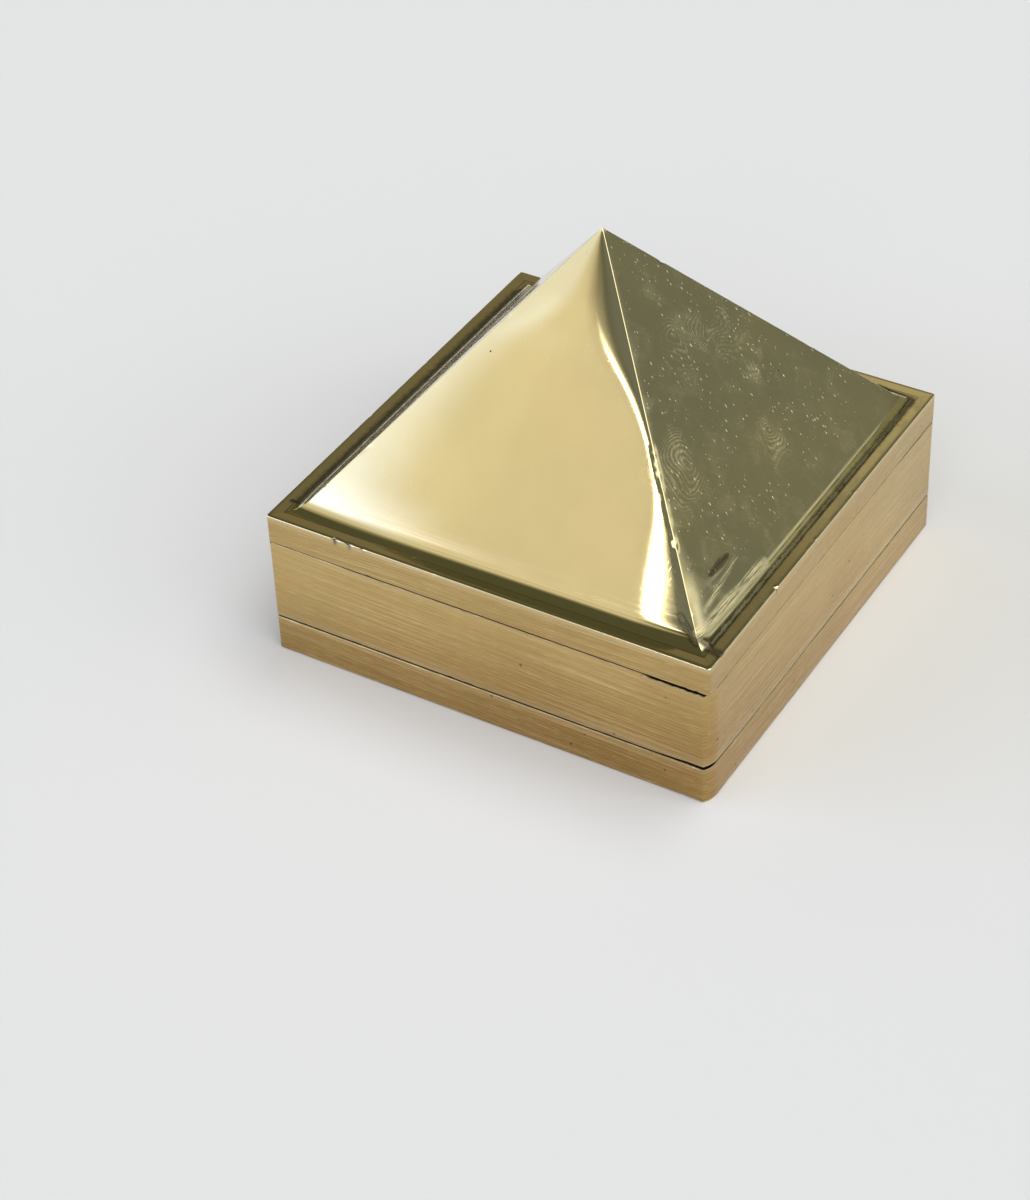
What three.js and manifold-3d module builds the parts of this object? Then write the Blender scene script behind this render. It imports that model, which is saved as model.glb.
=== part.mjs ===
// Vastu pyramid: three square brass layers that stack and lift apart.
// The base carries eighty-one tiny pyramids, the middle layer nine small ones,
// and the lid is one large hollow pyramid on a flat rim.
// Millimetres, +Z up, origin at the middle of the underside.

import * as THREE from "three";
import { mergeVertices } from "three/addons/utils/BufferGeometryUtils.js";
import Module from "manifold-3d";

// The stack of layers
const side = 50.8;
const baseHeight = 4.3;
const middleHeight = 9.6;
const rimHeight = 3.3;
const seamGap = 0.1; // the ground faces never bed down quite fully

// Edges and corners
const edgeBevel = 0.2;
const rimCorner = 0.3; // the lid's upright corners are left almost sharp
const layerCorner = 0.9; // those of the two lower layers are filed round
const innerCorner = 0.4;

// Clearances
const locatingPlay = 0.3; // round the step that centres one layer on the next
const plateFit = 0.15; // round a pyramid plate in its frame
const skirtFit = 0.1; // round the cap's skirt in the rim, filled with solder

// Middle frame
const frameWall = 4;
const restWidth = 1; // the shelf under the edge of the nine-pyramid plate

// Base tray and its plate of tiny pyramids
const trayPocket = 1.6;
const tinyPlateProud = 0.8; // how far the plate stands above the tray's rim
const tinyMargin = 0.3;
const tinyHeight = 2.5;
const tinyGroove = 0.3;
const tinyRows = 9;
const tipClearance = 0.7; // over the tiny pyramids, under the middle layer

// Plate of small pyramids
const smallPlate = 1.8;
const smallMargin = 1.6;
const smallHeight = 7.6;
const smallGroove = 0.4;
const smallRows = 3;

// Lid
const ledgeWidth = 2.5; // from the rim's edge to where the pyramid's slope would meet it
const pyramidHeight = 27.4;
const pyramidWall = 2;
const skirtWall = 1.8;
const skirtDrop = 1.5; // how far the skirt reaches down into the middle layer
const footFillet = 2.2; // hollow sweep from the slope out to the ledge
const toeEdge = 0.06; // where the sweep thins out on the ledge

// One overrun serves every cut and every foot sunk into its plate
const overrun = 0.5;

const cornerSteps = 4;
const filletSteps = 5;

// Half-widths of what fits into what
const sideHalf = side / 2;
const mouthHalf = sideHalf - frameWall;
const recessHalf = mouthHalf - restWidth;
const tinyPlateHalf = recessHalf - locatingPlay;
const pocketHalf = tinyPlateHalf + plateFit;
const smallPlateHalf = mouthHalf - plateFit;
const skirtHalf = mouthHalf - locatingPlay;
const rimOpeningHalf = skirtHalf + skirtFit;
const footHalf = sideHalf - ledgeWidth;

// Depth of the recess under the middle layer, from its lower face
const recessDepth = tinyPlateProud + tinyHeight + tipClearance - seamGap;

const wasm = await Module();
wasm.setup();

function solidOf(geometry) {
  const bare = geometry.clone();
  bare.deleteAttribute("normal");
  bare.deleteAttribute("uv");
  const merged = mergeVertices(bare);
  return new wasm.Manifold(
    new wasm.Mesh({
      numProp: 3,
      vertProperties: merged.attributes.position.array,
      triVerts: new Uint32Array(merged.index.array),
    }),
  );
}

function geometryOf(solid) {
  const mesh = solid.getMesh();
  const geometry = new THREE.BufferGeometry();
  geometry.setAttribute("position", new THREE.BufferAttribute(mesh.vertProperties, 3));
  geometry.setIndex(new THREE.BufferAttribute(mesh.triVerts, 1));
  geometry.computeVertexNormals();
  return geometry;
}

function roundedSquare(half, radius) {
  const inset = half - radius;
  const quarter = Math.PI / 2;
  const shape = new THREE.Shape();
  shape.absarc(inset, inset, radius, 0, quarter);
  shape.absarc(-inset, inset, radius, quarter, 2 * quarter);
  shape.absarc(-inset, -inset, radius, 2 * quarter, 3 * quarter);
  shape.absarc(inset, -inset, radius, 3 * quarter, 4 * quarter);
  shape.closePath();
  return shape;
}

// A square block from one height to another, with plain edges
function block(half, radius, bottom, top) {
  const geometry = new THREE.ExtrudeGeometry(roundedSquare(half, radius), {
    depth: top - bottom,
    bevelEnabled: false,
    curveSegments: cornerSteps,
  });
  return solidOf(geometry.translate(0, 0, bottom));
}

// The same block with its upper and lower edges broken
function bevelledBlock(half, radius, bottom, top) {
  const geometry = new THREE.ExtrudeGeometry(roundedSquare(half, radius), {
    depth: top - bottom - 2 * edgeBevel,
    bevelThickness: edgeBevel,
    bevelSize: edgeBevel,
    bevelOffset: -edgeBevel,
    bevelSegments: 1,
    curveSegments: cornerSteps,
  });
  return solidOf(geometry.translate(0, 0, bottom + edgeBevel));
}

// A four-sided form whose flat sides follow a profile of [half-width, height] points
function foursided(profile) {
  const quarterTurn = Math.PI / 2;
  const corner = quarterTurn / 2;
  const points = profile.map(([half, z]) => new THREE.Vector2(half * Math.SQRT2, z));
  const geometry = new THREE.LatheGeometry(points, 4, corner);
  return solidOf(geometry.rotateX(quarterTurn));
}

// A plate with rows of solid pyramids on it, as one casting
function pyramidPlate(half, thickness, margin, rows, groove, height) {
  const pitch = (2 * (half - margin)) / rows;
  const foot = (pitch - groove) / 2;
  const pyramid = foursided([
    [0, -overrun],
    [foot, -overrun],
    [foot, 0],
    [0, height],
  ]);
  const middleRow = (rows - 1) / 2;
  let plate = block(half, innerCorner, 0, thickness);
  for (let row = 0; row < rows; row++) {
    for (let column = 0; column < rows; column++) {
      const x = (column - middleRow) * pitch;
      const y = (row - middleRow) * pitch;
      plate = plate.add(pyramid.translate([x, y, thickness]));
    }
  }
  return plate;
}

function baseTray() {
  const floor = baseHeight - trayPocket;
  const body = bevelledBlock(sideHalf, layerCorner, 0, baseHeight);
  return body.subtract(block(pocketHalf, innerCorner, floor, baseHeight + overrun));
}

function tinyPyramidPlate() {
  const thickness = trayPocket + tinyPlateProud;
  return pyramidPlate(tinyPlateHalf, thickness, tinyMargin, tinyRows, tinyGroove, tinyHeight);
}

function middleFrame() {
  const body = bevelledBlock(sideHalf, layerCorner, 0, middleHeight);
  const recess = block(recessHalf, innerCorner, -overrun, recessDepth + overrun);
  const mouth = block(mouthHalf, innerCorner, recessDepth, middleHeight + overrun);
  return body.subtract(recess).subtract(mouth);
}

function smallPyramidPlate() {
  return pyramidPlate(
    smallPlateHalf,
    smallPlate,
    smallMargin,
    smallRows,
    smallGroove,
    smallHeight,
  );
}

function lidRim() {
  const body = bevelledBlock(sideHalf, rimCorner, 0, rimHeight);
  const past = rimHeight + overrun;
  return body.subtract(block(rimOpeningHalf, innerCorner, -overrun, past));
}

// The hollow sweep at the foot, from its thin toe on the ledge up to the slope
function footSweep(slope) {
  const centre = footHalf + footFillet * Math.tan(slope / 2);
  const start = Math.acos(1 - toeEdge / footFillet);
  const points = [];
  for (let step = 0; step <= filletSteps; step++) {
    const turn = start + ((slope - start) * step) / filletSteps;
    const half = centre - footFillet * Math.sin(turn);
    points.push([half, footFillet * (1 - Math.cos(turn))]);
  }
  return points;
}

// Heights of the cap are from the ledge: the skirt hangs below it, through the rim
function pyramidCap() {
  const slope = Math.atan2(pyramidHeight, footHalf);
  const skirtBottom = -rimHeight - skirtDrop;
  const skirtInner = skirtHalf - skirtWall;
  const innerFoot = footHalf - pyramidWall / Math.sin(slope);
  const innerApex = innerFoot * Math.tan(slope);
  const innerBreak = (innerFoot - skirtInner) * Math.tan(slope);
  const sweep = footSweep(slope);
  return foursided([
    [0, innerApex],
    [skirtInner, innerBreak],
    [skirtInner, skirtBottom],
    [skirtHalf, skirtBottom],
    [skirtHalf, 0],
    [sweep[0][0], 0],
    ...sweep,
    [0, pyramidHeight],
  ]);
}

const polishedBrass = new THREE.MeshStandardMaterial({
  color: 0xd6c179,
  roughness: 0.12,
  metalness: 1,
  flatShading: true,
});

const brushedBrass = new THREE.MeshStandardMaterial({
  color: 0xc2a463,
  roughness: 0.38,
  metalness: 1,
  flatShading: true,
});

const castBrass = new THREE.MeshStandardMaterial({
  color: 0xb5975a,
  roughness: 0.5,
  metalness: 1,
  flatShading: true,
});

// A named piece at its height in its layer
function piece(name, solid, material, height) {
  const mesh = new THREE.Mesh(geometryOf(solid), material);
  mesh.name = name;
  mesh.position.z = height;
  return mesh;
}

function layer(name, height, ...pieces) {
  const group = new THREE.Group();
  group.name = name;
  group.position.z = height;
  group.add(...pieces);
  return group;
}

const middleSeat = baseHeight + seamGap;
const lidSeat = middleSeat + middleHeight + seamGap;
const trayFloor = baseHeight - trayPocket;

const vastuPyramid = new THREE.Group();
vastuPyramid.name = "vastu_pyramid";
vastuPyramid.add(
  layer(
    "base",
    0,
    piece("base_tray", baseTray(), brushedBrass.clone(), 0),
    piece("eighty_one_pyramid_plate", tinyPyramidPlate(), castBrass.clone(), trayFloor),
  ),
  layer(
    "middle",
    middleSeat,
    piece("middle_frame", middleFrame(), brushedBrass.clone(), 0),
    piece("nine_pyramid_plate", smallPyramidPlate(), castBrass.clone(), recessDepth),
  ),
  layer(
    "lid",
    lidSeat,
    piece("lid_rim", lidRim(), brushedBrass.clone(), 0),
    piece("pyramid_cap", pyramidCap(), polishedBrass.clone(), rimHeight),
  ),
);

export default vastuPyramid;
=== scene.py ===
import math

import bpy
import numpy as np
from mathutils import Matrix, Vector


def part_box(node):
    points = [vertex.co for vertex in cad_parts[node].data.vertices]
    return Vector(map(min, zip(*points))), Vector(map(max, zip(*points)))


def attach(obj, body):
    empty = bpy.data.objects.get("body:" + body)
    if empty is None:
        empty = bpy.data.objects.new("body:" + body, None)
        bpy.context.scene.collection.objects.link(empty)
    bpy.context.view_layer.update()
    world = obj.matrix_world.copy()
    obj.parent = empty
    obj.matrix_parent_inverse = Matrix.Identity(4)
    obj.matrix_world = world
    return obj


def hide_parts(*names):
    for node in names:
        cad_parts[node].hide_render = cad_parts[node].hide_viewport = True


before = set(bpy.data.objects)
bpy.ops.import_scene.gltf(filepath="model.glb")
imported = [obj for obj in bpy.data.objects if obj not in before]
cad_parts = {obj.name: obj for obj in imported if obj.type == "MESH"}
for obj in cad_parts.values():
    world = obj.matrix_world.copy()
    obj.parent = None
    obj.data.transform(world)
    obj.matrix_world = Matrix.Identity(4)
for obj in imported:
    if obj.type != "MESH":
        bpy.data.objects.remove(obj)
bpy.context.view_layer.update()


# Base tray
# The lowest layer: a square brass slab, 4.3 mm thick, with a shallow pocket for the plate of
# tiny pyramids. Its sides are belt-ground by hand, its upright corners filed round, and it
# lies loose under the other two layers. Lengths are in millimetres until a mesh is made.

MM = 0.001
FRONT, RIGHT, BACK, LEFT = range(4)

layer_corners = (0.35, 0.4, 0.6, 0.35)  # at the end of each side
tray_pocket = 1.6
pocket_half = 20.25
inner_corner = 0.4
broken_edge = 0.16
filed_radius = 3.5
filed_inset = 2.15
wall_swell = 0.014


def span(node):
    """Half-width, bottom and top of a square CAD node."""
    low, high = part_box(node)
    return high.x / MM, low.z / MM, high.z / MM


class SquareRun:
    """A run of points round a square with rounded corners, anticlockwise from above.

    side says which side a point is on, and place how far along that side from its middle
    the point lies on a square of the given half-width. A corner is one radius, or one for the
    corner at the end of each side.
    """

    def __init__(self, half, ends, corner_points):
        turn = np.radians(np.linspace(0, 90, corner_points + 2))[1:-1]
        self.ends = ends
        self.arc = np.stack([np.sin(turn), -np.cos(turn)], axis=1)
        self.count = 4 * (ends.size + turn.size)
        per_side = self.count // 4
        self.side = np.repeat(np.arange(4), per_side)
        self.place = np.tile(np.concatenate([ends, np.ones(turn.size)]), 4) * half
        self.rng = np.random.default_rng(5)

    def ring(self, half, corner, level, inset=0.0):
        """One ring of the run, drawn in by inset along the way each point faces."""
        corners = np.broadcast_to(corner, 4)
        facing = np.concatenate([np.tile([0.0, -1.0], (self.ends.size, 1)), self.arc])
        points, ways = [], []
        for side, (cosine, sine) in enumerate(((1, 0), (0, 1), (-1, 0), (0, -1))):
            start, end = corners[side - 1] - half, half - corners[side]
            along = start + (self.ends + 1) / 2 * (end - start)
            straight = np.stack([along, np.full(self.ends.size, -half)], axis=1)
            arc = np.array([end, -end]) + corners[side] * self.arc
            turned = np.array([[cosine, sine], [-sine, cosine]])
            points.append(np.concatenate([straight, arc]) @ turned)
            ways.append(facing @ turned)
        flat = np.concatenate(points) - np.concatenate(ways) * np.reshape(inset, (-1, 1))
        return np.column_stack([flat, np.broadcast_to(level, self.count)])

    def bites(self, marks, small_ones, deepest):
        """How much wider the broken edge is at each point, for marks of (side, place, length, depth)."""
        bite = np.zeros(self.count)
        marks = list(marks)
        for _ in range(small_ones):
            where = self.rng.uniform(-1, 1) * self.place.max()
            marks.append((self.rng.integers(4), where, self.rng.uniform(0.3, 1.2),
                          deepest * self.rng.uniform(0.2, 1) ** 2))
        for side, place, length, depth in marks:
            off = np.abs(self.place - place) / (length / 2)
            ragged = 1 + 0.35 * np.sin(self.place * 9.1 + place)
            bump = depth * ragged * np.clip(1 - off ** 4, 0, 1)
            bite = np.maximum(bite, np.where(self.side == side, bump, 0))
        return bite

    def edge(self, half, corner, level, size, upper):
        """Rings over a rounded edge, in order upwards: of the top face if upper, else of the bottom."""
        turns = np.radians([0, 30, 60, 90])
        rings = []
        for turn in turns if upper else turns[::-1]:
            drop = size * (1 - np.sin(turn))
            rings.append(self.ring(half, corner, level - drop if upper else level + drop,
                                   size * (1 - np.cos(turn))))
        return rings


def swell(points, length, seed):
    """A smooth random swell over rows of coordinates, about -1 to 1, in waves about length long."""
    rng = np.random.default_rng(seed)
    total = np.zeros(len(points))
    for _ in range(8):
        way = rng.normal(size=points.shape[1])
        way *= 2 * math.pi / (length * rng.uniform(0.7, 1.8) * np.linalg.norm(way))
        total += np.sin(points @ way + rng.uniform(0, 2 * math.pi))
    return total / 4


def wall(run, half, corner, low, high, steps, seed):
    """Rings up a hand-ground side between two rings, with a slight swell in it."""
    rings = []
    for share in np.linspace(0, 1, steps + 2)[1:-1]:
        level = low + (high - low) * share
        flat = run.ring(half, corner, level)
        inset = np.clip(wall_swell * (1 + swell(flat, 14, seed)), 0, None)
        rings.append(run.ring(half, corner, level, inset))
    return rings


def skin(name, stretches, finishes, closed=False):
    """A mesh over stretches of rings, each stretch (rings, finish, worn, grime).

    finish numbers the one of finishes that the surface wears from there on. worn is how bright
    handling keeps the rings, and along the edges also a painted highlight; grime is how dirty
    they are, and in the seams and along the lower edges also painted shade: one number, or for
    each ring one number or one for each point. How far round the section each ring lies is kept
    as across, for grain that follows the surface. A closed skin joins its last ring to its first;
    an open one gets a flat face at each end.
    """
    rings = [ring for stretch in stretches for ring in stretch[0]]
    bands = [stretch[1] for stretch in stretches for _ in stretch[0]]
    count = len(rings[0])
    points = np.concatenate(rings)
    around = np.arange(count)
    onward = (around + 1) % count
    faces, slots = [], []
    for i, finish in enumerate(bands if closed else bands[:-1]):
        low, high = i * count, (i + 1) % len(rings) * count
        faces += np.stack([low + around, low + onward, high + onward, high + around], axis=1).tolist()
        slots += [finish] * count
    if not closed:
        faces += [list(range(count))[::-1], list(range(len(points) - count, len(points)))]
        slots += [bands[0], bands[-1]]
    mesh = bpy.data.meshes.new(name)
    mesh.from_pydata((points * MM).tolist(), [], faces)
    for finish in finishes:
        mesh.materials.append(finish)
    mesh.polygons.foreach_set("material_index", slots)
    steps = [np.linalg.norm(high - low, axis=1).mean() for low, high in zip(rings, rings[1:])]
    levels = {"across": rings[0][:, 2].mean() + np.cumsum([0.0] + steps), "wear_and_highlight": [], "grime_and_shade": []}
    for place, label in ((2, "wear_and_highlight"), (3, "grime_and_shade")):
        for stretch in stretches:
            kept = stretch[place]
            levels[label] += list(kept) if np.iterable(kept) else [kept] * len(stretch[0])
    for label, rows in levels.items():
        values = np.concatenate([np.broadcast_to(row, count) for row in rows])
        mark = mesh.attributes.new(label, "FLOAT", "POINT")
        mark.data.foreach_set("value", values.astype(np.float32))
    mesh.shade_smooth()
    mesh.set_sharp_from_angle(angle=math.radians(32))
    piece = bpy.data.objects.new(name, mesh)
    bpy.context.scene.collection.objects.link(piece)
    return piece


class Flow:
    """What one socket gives, so that shader maths reads as Python."""

    def __init__(self, tree, socket):
        self.tree, self.socket = tree, socket

    def maths(self, operation, *values):
        return self.tree.node("ShaderNodeMath", {"operation": operation}, dict(enumerate(values)))

    def __add__(self, other):
        return self.maths("ADD", self, other)

    def __radd__(self, other):
        return self.maths("ADD", other, self)

    def __sub__(self, other):
        return self.maths("SUBTRACT", self, other)

    def __rsub__(self, other):
        return self.maths("SUBTRACT", other, self)

    def __mul__(self, other):
        return self.maths("MULTIPLY", self, other)

    def __rmul__(self, other):
        return self.maths("MULTIPLY", other, self)

    def __gt__(self, other):
        return self.maths("GREATER_THAN", self, other)

    def __abs__(self):
        return self.maths("ABSOLUTE", self)

    def rise(self, low, high):
        """0 below low and 1 above high, with a smooth rise between; falls if low is the larger."""
        return self.tree.node("ShaderNodeMapRange", {"interpolation_type": "SMOOTHSTEP"},
                              {"Value": self, "From Min": low, "From Max": high})

    def output(self, name):
        return Flow(self.tree, self.socket.node.outputs[name])


class Tree:
    """A node tree in the making."""

    def __init__(self, tree):
        self.tree = tree
        tree.nodes.clear()

    def node(self, kind, settings=None, sockets=None, output=0):
        """Adds a node with its settings made first, then its sockets set or linked."""
        made = self.tree.nodes.new(kind)
        for name, value in (settings or {}).items():
            setattr(made, name, value)
        for name, value in (sockets or {}).items():
            if isinstance(value, Flow):
                self.tree.links.new(value.socket, made.inputs[name])
            else:
                made.inputs[name].default_value = value
        return Flow(self, made.outputs[output]) if len(made.outputs) else None


class Finish(Tree):
    """A material in the making, with the places and textures that the brass finishes share."""

    def __init__(self, name):
        self.material = bpy.data.materials.new(name)
        self.material.use_nodes = True
        super().__init__(self.material.node_tree)
        place = self.node("ShaderNodeTexCoord", output="Object")
        self.place = self.node("ShaderNodeVectorMath", {"operation": "SCALE"}, {0: place, "Scale": 1 / MM})
        parts = self.node("ShaderNodeSeparateXYZ", None, {0: self.place})
        self.x, self.y, self.z = parts, parts.output("Y"), parts.output("Z")

    def vector(self, x, y, z):
        return self.node("ShaderNodeCombineXYZ", None, {0: x, 1: y, 2: z})

    def noise(self, vector, scale, detail=2.0, roughness=0.5, distortion=0.0):
        return self.node("ShaderNodeTexNoise", None, {
            "Vector": vector, "Scale": scale, "Detail": detail, "Roughness": roughness,
            "Distortion": distortion})

    def blend(self, share, first, second):
        """A colour between two colours."""
        sockets = {0: share}
        for index, colour in ((6, first), (7, second)):
            sockets[index] = colour if isinstance(colour, Flow) else (*colour, 1)
        return self.node("ShaderNodeMix", {"data_type": "RGBA"}, sockets, output=2)

    def mark(self, name):
        return self.node("ShaderNodeAttribute", {"attribute_name": name}, output="Fac")

    def brass(self, colour, roughness, height, depth):
        """Joins colour, roughness and a bump depth metres deep into the finished metal."""
        normal = self.node("ShaderNodeBump", None, {"Height": height, "Distance": depth, "Strength": 1.0})
        metal = self.node("ShaderNodeBsdfPrincipled", None, {
            "Base Color": colour, "Roughness": roughness, "Metallic": 1.0, "Normal": normal})
        self.node("ShaderNodeOutputMaterial", None, {"Surface": metal})
        return self.material


def along_and_across(finish):
    """Places along and across each side of a square layer, and a number that differs between sides."""
    faces_y = abs(finish.y) > abs(finish.x)
    along = faces_y * finish.x + (1 - faces_y) * finish.y
    out = faces_y * finish.y + (1 - faces_y) * finish.x
    return along, finish.mark("across"), faces_y * 11 + (out > 0) * 5


def belt_ground(name, light, dark, coarseness, tilt):
    """Brass straight off the belt: fine scratches along each side, the fresh ones brighter."""
    finish = Finish(name)
    along, across, side = along_and_across(finish)
    across = across + along * tilt + finish.noise(finish.place, 0.04, 1) * 0.25
    grooves = finish.noise(finish.vector(along * 0.035, across * coarseness, side), 1, 2, 0.6)
    hairs = finish.noise(finish.vector(along * 0.04, across * coarseness * 1.4, side + 40), 1, 1, 0.5)
    slanted = finish.vector(along * 0.45, (across - along * 0.05) * coarseness, side + 80)
    crossing = finish.noise(slanted, 1, 1)
    patches = finish.noise(finish.place, 0.10, 2, 0.5)
    spot = finish.node("ShaderNodeTexVoronoi", None, {"Vector": finish.place, "Scale": 0.42})
    deep = grooves.rise(0.52, 0.36)
    fresh = hairs.rise(0.54, 0.66) * 0.8 + crossing.rise(0.58, 0.66) * 0.4
    pit = spot.rise(0.09, 0.05) * patches.rise(0.45, 0.6)
    grime_and_shade = finish.mark("grime_and_shade")
    wear_and_highlight = finish.mark("wear_and_highlight")

    # Painted shade: the metal is darkened to brown towards the foot and most at two opposite corners, broken
    # up by random patches
    painted_shade_field = abs(finish.x * 0.6 - finish.y) * 0.023 + patches * 0.5 - finish.z * 0.09
    painted_brown_shade = painted_shade_field.rise(-0.75, 0.95)

    colour = finish.blend(patches.rise(0.3, 0.7) * 0.2, light, dark)
    # Painted brown shade, deepest towards the foot
    colour = finish.blend(painted_brown_shade * 0.7, colour, (0.30, 0.165, 0.042))
    colour = finish.blend(deep * 0.28, colour, dark)
    colour = finish.blend(fresh * 0.5, colour, (0.92, 0.74, 0.40))
    colour = finish.blend(pit * 0.8, colour, (0.10, 0.07, 0.03))
    # Wear and painted highlight: a pale line along the marked edges
    colour = finish.blend(wear_and_highlight * 0.8, colour, (0.90, 0.80, 0.52))
    # Dirt and painted shade: near black in the seams, along the lower edges and under the layers
    colour = finish.blend(grime_and_shade, colour, (0.012, 0.009, 0.005))
    roughness = (0.19 + deep * 0.09 - fresh * 0.06 + patches.rise(0.45, 0.7) * 0.05
                 - wear_and_highlight * 0.06 + grime_and_shade * 0.4)
    height = grooves * 0.6 + hairs * 0.35 + crossing * 0.2
    return finish.brass(colour, roughness, height, 3.6e-5)


def as_cast(name, light, dark, grain_size):
    """Brass as it left the sand, a little pitted, dull in the hollows and dark with age."""
    finish = Finish(name)
    sand = finish.noise(finish.place, 1 / grain_size, 4, 0.65)
    pits = finish.node("ShaderNodeTexVoronoi", None, {"Vector": finish.place, "Scale": 1.1})
    cloud = finish.noise(finish.place, 0.3, 3, 0.6)
    pitted = pits.rise(0.22, 0.08)
    polish = finish.mark("wear_and_highlight")
    grime_and_shade = finish.mark("grime_and_shade")
    colour = finish.blend(cloud.rise(0.3, 0.7), dark, light)
    colour = finish.blend(pitted * 0.6, colour, (0.20, 0.14, 0.06))
    # Polish, and a painted highlight where the edges are marked
    colour = finish.blend(polish * 0.7, colour, (0.80, 0.67, 0.36))
    # Dirt and painted shade in the hollows
    colour = finish.blend(grime_and_shade, colour, (0.07, 0.05, 0.025))
    roughness = 0.5 + sand * 0.14 - polish * 0.24 + grime_and_shade * 0.1
    return finish.brass(colour, roughness, sand - pitted * 0.6, 2.5e-5)


ground_brass = belt_ground("belt_ground_brass", (0.58, 0.41, 0.162), (0.40, 0.26, 0.09), 10.0, 0.03)
cast_brass = as_cast("cast_brass", (0.66, 0.50, 0.25), (0.42, 0.30, 0.13), 0.35)

base_half, base_bottom, base_top = span("base_tray")
near_corners = 1 - np.linspace(0, 0.09, 26)[1:] ** 1.2
layer_run = SquareRun(base_half, np.unique(np.concatenate([
    np.linspace(-1, 1, 220), near_corners, -near_corners])), 4)


def file_corner(rings):
    """Files the front right corner off in a curve that meets the front in a faint edge."""
    middle = np.array([base_half - filed_radius, filed_inset - base_half])
    for ring in rings:
        off = ring[:, :2] - middle
        far = np.hypot(*off.T)
        outside = (off[:, 0] > 0) & (off[:, 1] < 0) & (far > filed_radius)
        ring[outside, :2] = middle + off[outside] * (filed_radius / far[outside])[:, None]
    return rings


tray_low_edge = broken_edge + 0.05 + layer_run.bites([], 18, 0.12)
tray_top_edge = broken_edge + 0.12 * (layer_run.side == RIGHT) + layer_run.bites(
    [(FRONT, 23.4, 2.2, 0.10), (RIGHT, -20.5, 1.6, 0.12), (RIGHT, -14.6, 0.8, 0.1)], 26, 0.12)
# In the stretches below, the dirt numbers also paint shade in the seams and along the lower edges, and the
# wear numbers also paint a highlight along the edges
ground_base_tray = skin("ground_base_tray", [
    (file_corner(layer_run.edge(base_half, layer_corners, base_bottom, tray_low_edge, upper=False)),
     0, (0, 0.4, 0.4, 0), (0.4, 0.2, 0, 0)),
    (file_corner(wall(layer_run, base_half, layer_corners, base_bottom + 0.5, base_top - 0.5, 5, seed=3)),
     0, 0, 0),
    (file_corner(layer_run.edge(base_half, layer_corners, base_top, tray_top_edge, upper=True)),
     0, (0.1, 0.5, 0.3, 0), (0, 0.1, 0.4, 1)),
    ([layer_run.ring(base_half - 0.9, inner_corner, base_top),
      layer_run.ring(base_half - 2.2, inner_corner, base_top)], 0, 0, (0.45, 0.25)),
    ([layer_run.ring(pocket_half + 0.2, inner_corner, base_top),
      layer_run.ring(pocket_half, inner_corner, base_top - 0.2),
      layer_run.ring(pocket_half, inner_corner, base_top - tray_pocket + 0.2),
      layer_run.ring(pocket_half - 0.2, inner_corner, base_top - tray_pocket)], 1, 0, 0.1),
], [ground_brass, cast_brass])
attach(ground_base_tray, "base")
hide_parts("base_tray")


# Plate of eighty-one tiny pyramids
# One thin casting with nine rows of nine pyramids no bigger than a grain of rice, dropped into
# the pocket of the base tray and soldered round its edge. Its tips stand under the middle layer.

tiny_plate = {"Rows": 9, "Pitch": 4.4, "Foot": 4.1, "Height": 2.5, "Half": 20.1, "Thickness": 2.4,
              "Corner": 0.4, "Crease": 0.62, "Subdivisions": 2, "Seed": 4}
off_plumb = 0.012
off_square = 0.02
cast_roughness = 0.07


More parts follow.
